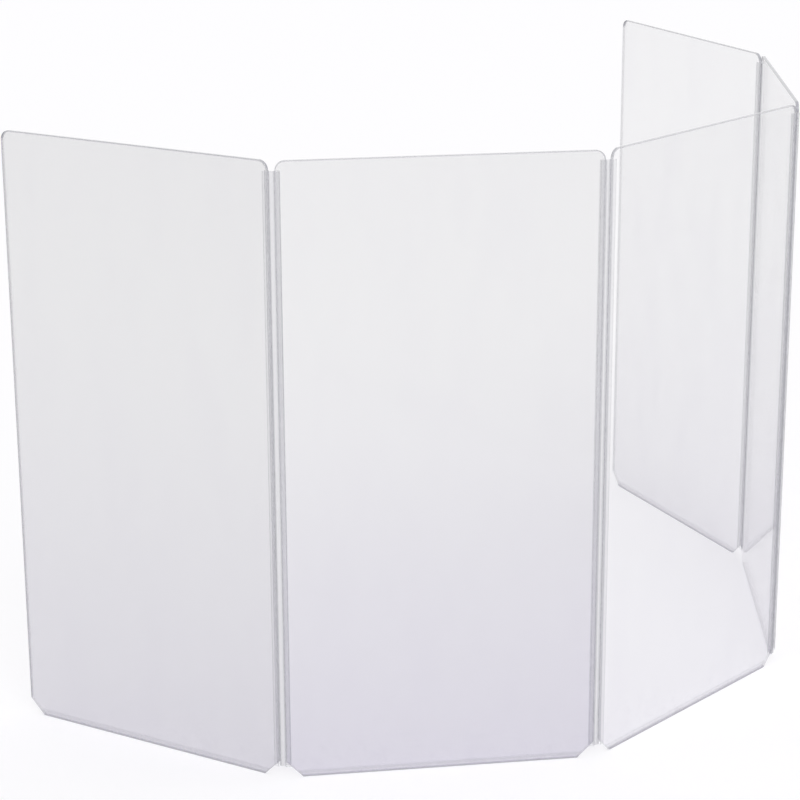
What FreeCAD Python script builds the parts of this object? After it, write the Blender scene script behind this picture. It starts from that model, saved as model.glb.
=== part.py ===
import FreeCAD
import Part
import math
import os

# A free-standing folding screen for a drum kit: five clear sheets in a row, joined edge to edge
# by four full-height flexible hinges. Millimetres, Z up.
# The origin is the middle of the centre sheet's bottom edge. X runs along that sheet, to the
# right as the audience sees it, and Y runs towards the drummer.

# Sheets
sheet_count = 5
sheet_width = 609.6
sheet_height = 1219.2
sheet_thickness = 6.35
edge_break = 0.4

# Corners of a sheet: the top ones are rounded and the bottom ones cut off at 45 degrees
corner_radius = 19.0
corner_clip = 33.0

# Hinge channels, one bonded over each hinged edge
channel_lip = 9.5
channel_wall = 1.2
channel_base = 1.2
bond_film = 0.1

# Hinge webs, one strip between two channels, with a round bead along each crease
web_thickness = 1.0
web_clearance = 0.1
bead_radius = 1.0
bead_clearance = 0.05
fold_clearance = 0.6

# How far each hinge is turned at rest, from the left, towards the drummer
hinge_turns = (38.5, 39.5, 40.5, 27.0)

# Sizes that follow from the ones above. A hinge starts where the rounded corners end, and stops
# where its lips meet the cut corners.
centre_sheet = sheet_count // 2
hinge_top_gap = corner_radius
hinge_floor_gap = corner_clip - channel_lip
hinge_height = sheet_height - hinge_top_gap - hinge_floor_gap
channel_thickness = sheet_thickness + 2 * (bond_film + channel_wall)
crease_spacing = channel_thickness + fold_clearance
base_to_crease = web_thickness / 2 + web_clearance
edge_to_crease = bond_film + channel_base + base_to_crease
lip_radius = 0.45 * channel_wall

VERTICAL = FreeCAD.Vector(0, 0, 1)


def point(x, y, z=0.0):
    return FreeCAD.Vector(x, y, z)


def direction(angle):
    """The level direction that lies this many degrees round from X."""
    return point(math.cos(math.radians(angle)), math.sin(math.radians(angle)))


def arc(centre, radius, start, end):
    """An arc in the XY plane, anticlockwise from one angle in degrees to another."""
    middle = (start + end) / 2
    ends = [centre + direction(angle) * radius for angle in (start, middle, end)]
    return Part.Arc(*ends).toShape()


def line(start, end):
    return Part.LineSegment(start, end).toShape()


def prism(edges, along):
    """A solid from a closed outline pushed along a vector."""
    return Part.Face(Part.Wire(edges)).extrude(along)


def sheet():
    """One sheet standing on its bottom edge, with its left edge on X = 0 and its middle on Y = 0.

    Two sheets side by side leave a notch at the floor for cables, between their cut corners.
    """
    half = sheet_thickness / 2
    width = sheet_width
    height = sheet_height
    radius = corner_radius
    clip = corner_clip
    edges = [
        line(point(clip, 0), point(width - clip, 0)),
        line(point(width - clip, 0), point(width, clip)),
        line(point(width, clip), point(width, height - radius)),
        arc(point(width - radius, height - radius), radius, 0, 90),
        line(point(width - radius, height), point(radius, height)),
        arc(point(radius, height - radius), radius, 90, 180),
        line(point(0, height - radius), point(0, clip)),
        line(point(0, clip), point(clip, 0)),
    ]
    blank = prism(edges, point(0, 0, sheet_thickness))
    rim = [e for e in blank.Edges if abs(e.BoundBox.ZLength) < edge_break / 2]
    blank = blank.makeChamfer(edge_break, rim)
    blank.rotate(point(0, 0), point(1, 0, 0), 90)
    blank.translate(point(0, half, 0))
    return blank


def channel():
    """The U-shaped strip over a sheet's right edge, with that edge on X = 0.

    Its lips end in round noses, and a shallow groove down the middle of its base seats the
    web's bead.
    """
    outer = channel_thickness / 2
    inner = outer - channel_wall
    lip = -channel_lip
    face = bond_film + channel_base
    crease = point(edge_to_crease, 0)
    seat = bead_radius + bead_clearance
    seat_angle = math.degrees(math.acos(base_to_crease / seat))
    mouth = seat * math.sin(math.radians(seat_angle))
    nose = lip_radius
    flat = channel_wall - 2 * nose
    edges = [
        line(point(bond_film, -inner), point(bond_film, inner)),
        line(point(bond_film, inner), point(lip + nose, inner)),
        arc(point(lip + nose, inner + nose), nose, 180, 270),
        line(point(lip, inner + nose), point(lip, inner + nose + flat)),
        arc(point(lip + nose, outer - nose), nose, 90, 180),
        line(point(lip + nose, outer), point(face - nose, outer)),
        arc(point(face - nose, outer - nose), nose, 0, 90),
        line(point(face, outer - nose), point(face, mouth)),
        arc(crease, seat, 180 - seat_angle, 180 + seat_angle),
        line(point(face, -mouth), point(face, nose - outer)),
        arc(point(face - nose, nose - outer), nose, 270, 360),
        line(point(face - nose, -outer), point(lip + nose, -outer)),
        arc(point(lip + nose, nose - outer), nose, 180, 270),
        line(point(lip, nose - outer), point(lip, nose - outer + flat)),
        arc(point(lip + nose, -inner - nose), nose, 90, 180),
        line(point(lip + nose, -inner), point(bond_film, -inner)),
    ]
    return prism(Part.sortEdges(edges)[0], VERTICAL * hinge_height)


def web():
    """The flexible strip between two creases, with the first crease on the Z axis and the second
    along X from it. A round bead runs down each crease."""
    half = web_thickness / 2
    neck = math.degrees(math.asin(half / bead_radius))
    reach = bead_radius * math.cos(math.radians(neck))
    far = point(crease_spacing, 0)
    edges = [
        arc(point(0, 0), bead_radius, neck, 360 - neck),
        line(point(reach, -half), point(crease_spacing - reach, -half)),
        arc(far, bead_radius, neck - 180, 180 - neck),
        line(point(crease_spacing - reach, half), point(reach, half)),
    ]
    return prism(Part.sortEdges(edges)[0], VERTICAL * hinge_height)


def standing(shape, start, angle, height=0.0):
    """A copy of the shape turned about Z and then moved to a point of the plan."""
    made = shape.copy()
    made.rotate(point(0, 0), VERTICAL, angle)
    made.translate(start + VERTICAL * height)
    return made


def turned_round(shape):
    """A copy of the shape turned half a turn about Z, so that it faces the other way."""
    return standing(shape, point(0, 0), 180)


def lay_out():
    """Walks the row both ways from the centre sheet.

    Gives each sheet's left edge and angle, and each hinge's left crease, right crease and angle.
    """
    sheets = {centre_sheet: (point(-sheet_width / 2, 0), 0.0)}
    hinges = {}
    for number in range(centre_sheet, sheet_count - 1):
        start, angle = sheets[number]
        turn = hinge_turns[number]
        first = start + direction(angle) * (sheet_width + edge_to_crease)
        second = first + direction(angle + turn / 2) * crease_spacing
        hinges[number] = (first, second, angle + turn / 2)
        next_angle = angle + turn
        sheets[number + 1] = (second + direction(next_angle) * edge_to_crease, next_angle)
    for number in range(centre_sheet - 1, -1, -1):
        start, angle = sheets[number + 1]
        turn = hinge_turns[number]
        second = start - direction(angle) * edge_to_crease
        first = second - direction(angle - turn / 2) * crease_spacing
        hinges[number] = (first, second, angle - turn / 2)
        next_angle = angle - turn
        reach = edge_to_crease + sheet_width
        sheets[number] = (first - direction(next_angle) * reach, next_angle)
    return sheets, hinges


sheets, hinges = lay_out()


def build():
    """Every piece in its place, by name."""
    pieces = {}
    one_sheet = sheet()
    right_channel = channel()
    left_channel = turned_round(right_channel)
    one_web = web()
    for number, (start, angle) in sheets.items():
        pieces[f"panel_{number + 1}"] = standing(one_sheet, start, angle)
    for number, (first, second, angle) in hinges.items():
        name = f"hinge_{number + 1}"
        before, before_angle = sheets[number]
        after, after_angle = sheets[number + 1]
        edge = before + direction(before_angle) * sheet_width
        up = hinge_floor_gap
        pieces[f"{name}_channel_left"] = standing(right_channel, edge, before_angle, up)
        pieces[f"{name}_channel_right"] = standing(left_channel, after, after_angle, up)
        pieces[f"{name}_web"] = standing(one_web, first, angle, up)
    return pieces


pieces = build()
os.makedirs("parts", exist_ok=True)
for name, solid in sorted(pieces.items()):
    solid.exportStep(f"parts/{name}.step")
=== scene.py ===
import math

import bpy
from mathutils import Matrix, Vector

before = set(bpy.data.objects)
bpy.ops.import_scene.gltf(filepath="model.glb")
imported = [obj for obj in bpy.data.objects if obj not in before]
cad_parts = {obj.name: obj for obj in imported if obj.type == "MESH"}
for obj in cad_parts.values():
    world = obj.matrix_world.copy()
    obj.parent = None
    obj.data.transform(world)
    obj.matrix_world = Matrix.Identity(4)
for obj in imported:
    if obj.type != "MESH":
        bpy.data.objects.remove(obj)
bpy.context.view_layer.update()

# Metres, in the frame of the CAD: the origin is the middle of the centre sheet's bottom edge,
# X runs along that sheet, Y runs towards the drummer, and Z is up. A pair of lengths says where
# a smooth step starts and where it ends. Colours are linear.

sheet_names = sorted(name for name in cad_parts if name.startswith("panel_"))
channel_names = sorted(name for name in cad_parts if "_channel_" in name)
web_names = sorted(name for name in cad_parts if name.endswith("_web"))
last_sheet = len(sheet_names) - 1

# A sheet's outline, and how far a hinge channel reaches over its side
sheet_height = 1.2192
corner_radius = 0.019
corner_clip = 0.033
channel_lip = 0.0095

# From panel 1 to panel 5: how clear a sheet is, the greyer first two partly by painted shade,
# how much painted shade darkens it towards its foot, and how grey the painted shade of its
# cut edge looks through its face along the left side, the top, the right side and the foot
sheet_clearness_and_shade = (0.898, 0.923, 0.975, 0.964, 0.945)
sheet_low_shade = (0.080, 0.118, 0.042, 0.030, 0.035)
left_grey = (0.24, 0.12, 0.12, 0.12, 0.12)
top_grey = (0.50, 0.32, 0.38, 0.80, 0.50)
right_grey = (0.12, 0.12, 0.12, 0.12, 0.14)
foot_grey = (0.22, 0.22, 0.30, 0.24, 0.24)

# The same painted edge shade for the cut corners of every sheet, and how much greyer the
# narrow cut face itself is painted
cut_grey = 0.07
cut_face_gain = 1.6
cut_face_least = 0.05

# Where one stretch of the outline passes into the next: down from the top, and up from the floor
top_stretch = (0.012, 0.022)
foot_stretch = (0.0015, 0.0045)
cut_stretch = (corner_clip - 0.002, corner_clip + 0.002)

# How far in from the outline the painted shade of the cut edge reaches, and above the foot a
# paler band of painted contact shadow, the floor's shadow seen through the sheet, with a second
# painted shadow line in it
edge_line = (0.0010, 0.0028)
foot_shadow_band = (0.0095, 0.0150)
foot_shadow_grey = 0.050
shadow_line_height = 0.0085
shadow_line = (0.0008, 0.0026)
shadow_line_grey = 0.070

# How far up painted shade and scuffs reach, and how hazy wipe marks and scuffs are
low_shade_reach = (-0.1, 1.0)
scuff_reach = (0.0, 0.16)
wipe_haze = 0.008
scuff_haze = 0.03

# A channel's outer faces, from the middle of its thickness, and the line of painted shade along
# each of its sides
channel_outside = (0.0040, 0.0044)
channel_side_line = (0.0006, 0.0018)
side_line_shade = 0.26
die_line_haze = 0.04
cloud_haze = 0.03

# How hazy a channel's outer faces are besides, from hinge 1 to hinge 4
channel_haze = (0.13, 0.13, 0.30, 0.25)

# How far a web's beads reach in from its sides, and how milky its marks are
bead_reach = (0.0012, 0.0030)
bead_haze = 0.12
strain_haze = 0.05
draw_line_haze = 0.03
web_haze = 0.02

# The share of light that a polished face mirrors straight on, how steeply it grows at a slant,
# and how much the plastics bend light
acrylic_gloss = 0.04
vinyl_gloss = 0.05
grazing_power = 5.0
acrylic_refraction = 1.49
vinyl_refraction = 1.53

# What a lamp's light meets at a clear face: the tint, and how much of the gloss and film it skips
lamp_tint = (0.97, 0.97, 0.975)
lamp_skips = 0.6

mirror_colour = (0.98, 0.98, 0.98)
# painted shade: the violet grey that the film towards the floor takes
low_shade_colour = (0.42, 0.345, 0.635)
# painted shade: the grey that stands in for the dark look that refraction gives a cut edge
cut_edge_shade_colour = (0.34, 0.34, 0.38)
channel_tint = (0.982, 0.982, 0.985)
channel_colours = ((0.30, 0.30, 0.34), (0.36, 0.36, 0.40))
web_tint = (0.895, 0.895, 0.902)
web_colours = ((0.50, 0.50, 0.54), (0.70, 0.70, 0.73))
floor_colour = (0.90, 0.895, 0.91)
white = (1.0, 1.0, 1.0)

# The camera's place, and its heading, tilt and roll in degrees, fitted to the photograph
image_width = 800
focal_length_in_pixels = 2381.4
sensor_width = 36.0
camera_place = Vector((-3.7527, -2.6064, 2.0791))
camera_heading = 47.725
camera_tilt_down = 17.293
camera_roll = -0.260
view_end = 200.0

# How strongly the white room lights the object, where 1 is how it looks, how far the floor
# reaches and how low it lies, and how much brighter than its paint it looks
room_light = 0.45
floor_reach = 60.0
floor_height = -0.0005
floor_lift = 0.10

# The most clear surfaces that one line of sight crosses, through every sheet and hinge
clear_surfaces = 64


class Value:
    """A number or colour that a material's nodes work out, for use in plain expressions."""

    def __init__(self, nodes, socket):
        self.nodes = nodes
        self.socket = socket

    def maths(self, operation, *others):
        return self.nodes.add("ShaderNodeMath", {"operation": operation}, (self, *others))["Value"]

    def __add__(self, other):
        return self.maths("ADD", other)

    __radd__ = __add__

    def __sub__(self, other):
        return self.maths("SUBTRACT", other)

    def __rsub__(self, other):
        return (self * -1.0) + other

    def __mul__(self, other):
        return self.maths("MULTIPLY", other)

    __rmul__ = __mul__

    def lowest(self, other):
        return self.maths("MINIMUM", other)

    def highest(self, other):
        return self.maths("MAXIMUM", other)

    def size(self):
        return self.maths("ABSOLUTE")

    def power(self, other):
        return self.maths("POWER", other)

    def root(self):
        return self.maths("SQRT")

    def rises(self, start, end):
        """0 up to start and 1 from end on, with a smooth step between them."""
        settings = {"interpolation_type": "SMOOTHSTEP"}
        values = {"Value": self, "From Min": start, "From Max": end}
        return self.nodes.add("ShaderNodeMapRange", settings, values)["Result"]

    def falls(self, start, end):
        """1 up to start and 0 from end on."""
        return 1.0 - self.rises(start, end)


class Nodes:
    """The node tree of one material, or of the world."""

    def __init__(self, owner):
        owner.use_nodes = True
        self.tree = owner.node_tree
        self.tree.nodes.clear()

    def add(self, kind, settings=None, values=None):
        """A node of this type, with its settings made first and its sockets filled after. Gives
        its outputs by name, without those that its settings switch off."""
        node = self.tree.nodes.new(kind)
        for name, setting in (settings or {}).items():
            setattr(node, name, setting)
        named = values.items() if isinstance(values, dict) else enumerate(values or ())
        for key, value in named:
            if isinstance(value, Value):
                self.tree.links.new(value.socket, node.inputs[key])
            else:
                node.inputs[key].default_value = value
        return {socket.name: Value(self, socket) for socket in node.outputs if socket.enabled}

    def place(self):
        """Where the surface is, in the frame of the CAD, at any pose."""
        return self.add("ShaderNodeTexCoord")["Object"]

    def facing(self):
        """Which way the surface faces, in the frame of the CAD, at any pose."""
        return self.add("ShaderNodeTexCoord")["Normal"]

    def along(self, vector, direction):
        """How far a vector reaches in a direction."""
        made = self.add("ShaderNodeVectorMath", {"operation": "DOT_PRODUCT"}, (vector, direction))
        return made["Value"]

    def noise(self, vector, stretch, scale, detail, roughness):
        """A noise from 0 to 1, finer along the directions in which the stretch is larger."""
        stretched = self.add("ShaderNodeVectorMath", {"operation": "MULTIPLY"}, (vector, stretch))
        values = {
            "Vector": stretched["Vector"],
            "Scale": scale,
            "Detail": detail,
            "Roughness": roughness,
        }
        return self.add("ShaderNodeTexNoise", None, values)["Fac"]

    def blend(self, share, first, second):
        """A colour that goes from the first to the second as share goes from 0 to 1."""
        first, second = (c if isinstance(c, Value) else (*c, 1.0) for c in (first, second))
        # this node's sockets go by number: 0 takes the share, and 6 and 7 take the colours
        values = {0: share, 6: first, 7: second}
        return self.add("ShaderNodeMix", {"data_type": "RGBA"}, values)["Result"]

    def bump(self, height, strength, distance):
        values = {"Strength": strength, "Distance": distance, "Height": height}
        return self.add("ShaderNodeBump", None, values)["Normal"]

    def transparent(self, tint):
        return self.add("ShaderNodeBsdfTransparent", None, {"Color": (*tint, 1.0)})["BSDF"]

    def mix(self, share, first, second):
        """One shader that goes from the first to the second as share goes from 0 to 1."""
        return self.add("ShaderNodeMixShader", None, (share, first, second))["Shader"]

    def finish(self, shader, output="ShaderNodeOutputMaterial"):
        self.add(output, None, {"Surface": shader})


def gloss_share(nodes, straight_on):
    """The share of light that a polished face throws back, alike from outside and inside: a few
    percent seen straight on, and all of it at a grazing angle."""
    slant = nodes.add("ShaderNodeLayerWeight", None, {"Blend": 0.5})["Facing"]
    return slant.power(grazing_power) * (1.0 - straight_on) + straight_on


def clear_plastic(nodes, tint, gloss, film, film_colour, roughness, bump, refraction):
    """A clear surface. What lies behind it shows, tinted, except for two shares of the light: the
    gloss mirrors the room, and the matt film carries haze and milkiness, and on the sheets also
    painted shade at the edges and towards the floor."""
    mirror = gloss * (gloss + film).power(-1.0)
    from_lamp = nodes.add("ShaderNodeLightPath")["Is Shadow Ray"]
    share = (gloss + film).lowest(1.0) * (1.0 - from_lamp * lamp_skips)
    see_through = nodes.mix(from_lamp, nodes.transparent(tint), nodes.transparent(lamp_tint))
    surface = nodes.add("ShaderNodeBsdfPrincipled", None, {
        "Base Color": nodes.blend(mirror, film_colour, mirror_colour),
        "Metallic": mirror,
        "Roughness": roughness,
        "IOR": refraction,
        "Normal": bump,
    })["BSDF"]
    return nodes.mix(share, see_through, surface)


class Strip:
    """How an upright flat piece stands in the plan, read from its own mesh: the level directions
    along and across it, where it starts along the first, its width, and its middle across."""

    def __init__(self, node):
        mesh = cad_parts[node].data
        normal = max(mesh.polygons, key=lambda face: face.area).normal
        along = Vector((-normal.y, normal.x, 0.0)).normalized()
        self.along = along if along.x > 0 else -along
        self.across = Vector((-self.along.y, self.along.x, 0.0))
        reach = [vertex.co.dot(self.along) for vertex in mesh.vertices]
        depth = [vertex.co.dot(self.across) for vertex in mesh.vertices]
        self.start = min(reach)
        self.width = max(reach) - min(reach)
        self.middle = (min(depth) + max(depth)) / 2

    def from_left(self, nodes, place):
        return nodes.along(place, self.along) - self.start

    def from_middle(self, nodes, place):
        """How far a point is from the middle of the thickness."""
        return (nodes.along(place, self.across) - self.middle).size()

    def narrow_face(self, nodes):
        """1 on the narrow faces and 0 on the two wide ones."""
        return nodes.along(nodes.facing(), self.across).size().falls(0.55, 0.9)


def inside_outline(left, width, height):
    """How far a point of a sheet is in from its outline, in metres."""
    side = left.lowest(width - left)
    top = sheet_height - height
    cut = (side + height - corner_clip) * math.sqrt(0.5)
    over = (corner_radius - side).highest(0.0)
    up = (corner_radius - top).highest(0.0)
    round_corner = corner_radius - (over * over + up * up).root()
    return side.lowest(top).lowest(height).lowest(cut).lowest(round_corner)


def outline_grey(number, left, width, height):
    """How grey the painted shade of the cut edge is along each stretch of a sheet's outline, in
    place of the dark look that refraction gives the edge: plain at the top and the foot, and faint
    on the cut corners and under the hinge channels."""
    from_side, to_side = left_grey[number], right_grey[number]
    side = left.rises(0.4 * width, 0.6 * width) * (to_side - from_side) + from_side
    near_top = (sheet_height - height).falls(*top_stretch)
    near_foot = height.falls(*foot_stretch)
    below_side = height.falls(*cut_stretch)
    grey = side * (1.0 - near_top) * (1.0 - below_side) + near_top * top_grey[number]
    return grey + below_side * (1.0 - near_foot) * cut_grey + near_foot * foot_grey[number]


def under_channel(number, left, width, height):
    """1 where a hinge channel covers the sheet, whose face is bonded there and doesn't shine."""
    if number == 0:
        hinged_side = width - left
    elif number == last_sheet:
        hinged_side = left
    else:
        hinged_side = left.lowest(width - left)
    step = 0.0002
    beside = hinged_side.falls(channel_lip, channel_lip + step)
    return beside * (sheet_height - height).rises(corner_radius, corner_radius + step)


def acrylic(node):
    """Clear cast acrylic: polished faces with faint wipe marks and scuffs, a film of painted shade
    that grows towards the floor, cut edges painted as thin grey lines of shade, and painted
    contact shadow above the foot."""
    strip = Strip(node)
    number = sheet_names.index(node)
    # the tint is partly the sheet's own and partly painted shade, which makes the first two greyer
    clear = sheet_clearness_and_shade[number]
    material = bpy.data.materials.new(f"Clear acrylic, {node}")
    nodes = Nodes(material)
    place = nodes.place()
    left = strip.from_left(nodes, place)
    height = nodes.along(place, (0.0, 0.0, 1.0))

    # the cut edge as painted shade, in place of refraction, seen through the face beside it or on
    # its own narrow face, with painted contact shadow above the foot
    grey = outline_grey(number, left, strip.width, height)
    line = inside_outline(left, strip.width, height).falls(*edge_line) * grey
    # painted contact shadow: a band and a line above the foot, for the floor's shadow seen through
    shadow_line_over_foot = (height - shadow_line_height).size().falls(*shadow_line) * shadow_line_grey
    band = height.falls(*foot_shadow_band) * foot_shadow_grey + shadow_line_over_foot
    narrow = strip.narrow_face(nodes)
    edge = (line + band).highest(narrow * (grey * cut_face_gain + cut_face_least))

    # wipe marks are broad and upright, scuffs gather near the floor, and painted shade darkens
    # the sheet towards the floor
    broad = nodes.noise(place, stretch=(5.0, 5.0, 1.6), scale=2.2, detail=2.0, roughness=0.62)
    fine = nodes.noise(place, stretch=(1.0, 1.0, 1.0), scale=60.0, detail=3.0, roughness=0.7)
    wipes = broad.rises(0.42, 0.72)
    scuffs = height.falls(*scuff_reach) * fine.rises(0.5, 0.75)
    low_shade = height.falls(*low_shade_reach) * sheet_low_shade[number]

    covered = under_channel(number, left, strip.width, height)
    nodes.finish(clear_plastic(
        nodes,
        tint=(clear, clear, clear + 0.001),
        gloss=gloss_share(nodes, acrylic_gloss) * (1.0 - covered),
        film=edge + wipes * wipe_haze + scuffs * scuff_haze + low_shade,
        film_colour=nodes.blend(edge.rises(0.04, 0.14), low_shade_colour, cut_edge_shade_colour),
        roughness=wipes * 0.04 + scuffs * 0.10 + narrow * 0.12 + 0.03,
        bump=nodes.bump(wipes, strength=0.015, distance=0.002),
        refraction=acrylic_refraction,
    ))
    return material


def channel_vinyl(node):
    """Clear rigid vinyl, a little greyer than the sheets, with the fine lines of the die, and a
    line of painted shade along each side where its wall is seen end on."""
    strip = Strip(node)
    hinge = int(node.split("_")[1]) - 1
    material = bpy.data.materials.new(f"Clear rigid vinyl, {node}")
    nodes = Nodes(material)
    place = nodes.place()
    left = strip.from_left(nodes, place)
    outside = strip.from_middle(nodes, place).rises(*channel_outside)
    grain = nodes.noise(place, stretch=(1.0, 1.0, 0.004), scale=1400.0, detail=2.0, roughness=0.6)
    cloud = nodes.noise(place, stretch=(1.0, 1.0, 0.25), scale=30.0, detail=3.0, roughness=0.5)
    # painted shade along each side, where the wall is seen end on
    side_line = left.lowest(strip.width - left).falls(*channel_side_line)
    marks = cloud.rises(0.3, 0.8) * cloud_haze + grain.rises(0.45, 0.7) * die_line_haze
    nodes.finish(clear_plastic(
        nodes,
        tint=channel_tint,
        gloss=gloss_share(nodes, vinyl_gloss) * outside,
        film=(marks + side_line * side_line_shade + channel_haze[hinge]) * outside,
        film_colour=nodes.blend(cloud, *channel_colours),
        roughness=cloud * 0.12 + 0.10,
        bump=nodes.bump(grain, strength=0.25, distance=0.0002),
        refraction=vinyl_refraction,
    ))
    return material


def web_vinyl(node):
    """Clear soft vinyl, slightly milky, with lengthwise lines and paler strain marks, and grey
    along the bead at each crease."""
    strip = Strip(node)
    material = bpy.data.materials.new(f"Clear flexible vinyl, {node}")
    nodes = Nodes(material)
    place = nodes.place()
    left = strip.from_left(nodes, place)
    lines = nodes.noise(place, stretch=(1.0, 1.0, 0.003), scale=900.0, detail=2.0, roughness=0.5)
    strain = nodes.noise(place, stretch=(1.0, 1.0, 0.12), scale=45.0, detail=3.0, roughness=0.6)
    bead = left.lowest(strip.width - left).falls(*bead_reach)
    marks = strain.rises(0.4, 0.8) * strain_haze + lines.rises(0.45, 0.7) * draw_line_haze
    nodes.finish(clear_plastic(
        nodes,
        tint=web_tint,
        gloss=gloss_share(nodes, vinyl_gloss) * (1.0 - bead),
        film=marks + bead * bead_haze + web_haze,
        film_colour=nodes.blend(strain, *web_colours),
        roughness=strain * 0.15 + 0.18,
        bump=nodes.bump(lines, strength=0.3, distance=0.0003),
        refraction=vinyl_refraction,
    ))
    return material


def dress(node, material):
    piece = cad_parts[node]
    piece.data.materials.clear()
    piece.data.materials.append(material)


def place_in_scene(name, data):
    piece = bpy.data.objects.new(name, data)
    bpy.context.scene.collection.objects.link(piece)
    return piece


def seen_directly(nodes):
    """1 for what the camera sees, also in a mirror or through glass, and 0 for other light."""
    path = nodes.add("ShaderNodeLightPath")
    direct = path["Is Camera Ray"].highest(path["Is Glossy Ray"])
    return direct.highest(path["Is Transmission Ray"])


def pale_ground():
    """A matt white floor that the camera sees as white paper, with the object's shadow on it."""
    material = bpy.data.materials.new("Pale floor")
    nodes = Nodes(material)
    matt = nodes.add("ShaderNodeBsdfDiffuse", None, {"Color": (*floor_colour, 1.0)})["BSDF"]
    values = {"Color": (*white, 1.0), "Strength": seen_directly(nodes) * floor_lift}
    lift = nodes.add("ShaderNodeEmission", None, values)["Emission"]
    nodes.finish(nodes.add("ShaderNodeAddShader", None, (matt, lift))["Shader"])
    return material


def floor():
    mesh = bpy.data.meshes.new("floor")
    turns = ((-1, -1), (1, -1), (1, 1), (-1, 1))
    corners = [(x * floor_reach, y * floor_reach, floor_height) for x, y in turns]
    mesh.from_pydata(corners, [], [(0, 1, 2, 3)])
    mesh.materials.append(pale_ground())
    piece = place_in_scene("floor", mesh)


def white_world():
    """Plain white all round: at full strength where it is seen, and softer as a light."""
    world = bpy.data.worlds.new("White room")
    bpy.context.scene.world = world
    nodes = Nodes(world)
    strength = seen_directly(nodes) * (1.0 - room_light) + room_light
    values = {"Color": (*white, 1.0), "Strength": strength}
    background = nodes.add("ShaderNodeBackground", None, values)["Background"]
    nodes.finish(background, "ShaderNodeOutputWorld")


def soft_light(name, place, target, spread, strength):
    """Even light from one side, as soft as a large diffuser that fills this many degrees."""
    lamp = bpy.data.lights.new(name, "SUN")
    lamp.angle = math.radians(spread)
    lamp.energy = strength
    piece = place_in_scene(name, lamp)
    piece.location = place
    piece.rotation_euler = (Vector(target) - Vector(place)).to_track_quat("-Z", "Y").to_euler()


def camera():
    data = bpy.data.cameras.new("camera")
    data.sensor_width = sensor_width
    data.sensor_fit = "HORIZONTAL"
    data.lens = sensor_width * focal_length_in_pixels / image_width
    data.clip_end = view_end
    heading, tilt, roll = (math.radians(a) for a in (camera_heading, camera_tilt_down, camera_roll))
    ahead = Vector((math.sin(heading) * math.cos(tilt), math.cos(heading) * math.cos(tilt),
                    -math.sin(tilt)))
    level = Vector((math.cos(heading), -math.sin(heading), 0.0))
    upright = level.cross(ahead)
    right = level * math.cos(roll) + upright * math.sin(roll)
    up = upright * math.cos(roll) - level * math.sin(roll)
    turn = Matrix((right, up, -ahead)).transposed()
    piece = place_in_scene("camera", data)
    piece.matrix_world = Matrix.Translation(camera_place) @ turn.to_4x4()
    bpy.context.scene.camera = piece


camera()
floor()
white_world()
soft_light("front light", (-2.6, -3.8, 4.2), (0.0, 0.3, 0.5), spread=35.0, strength=1.25)
soft_light("overhead light", (0.6, 0.2, 4.6), (0.0, 0.4, 0.0), spread=60.0, strength=0.95)
bpy.context.scene.view_settings.view_transform = "Standard"
bpy.context.scene.cycles.transparent_max_bounces = clear_surfaces

for name in sheet_names:
    dress(name, acrylic(name))
for name in channel_names:
    dress(name, channel_vinyl(name))
for name in web_names:
    dress(name, web_vinyl(name))
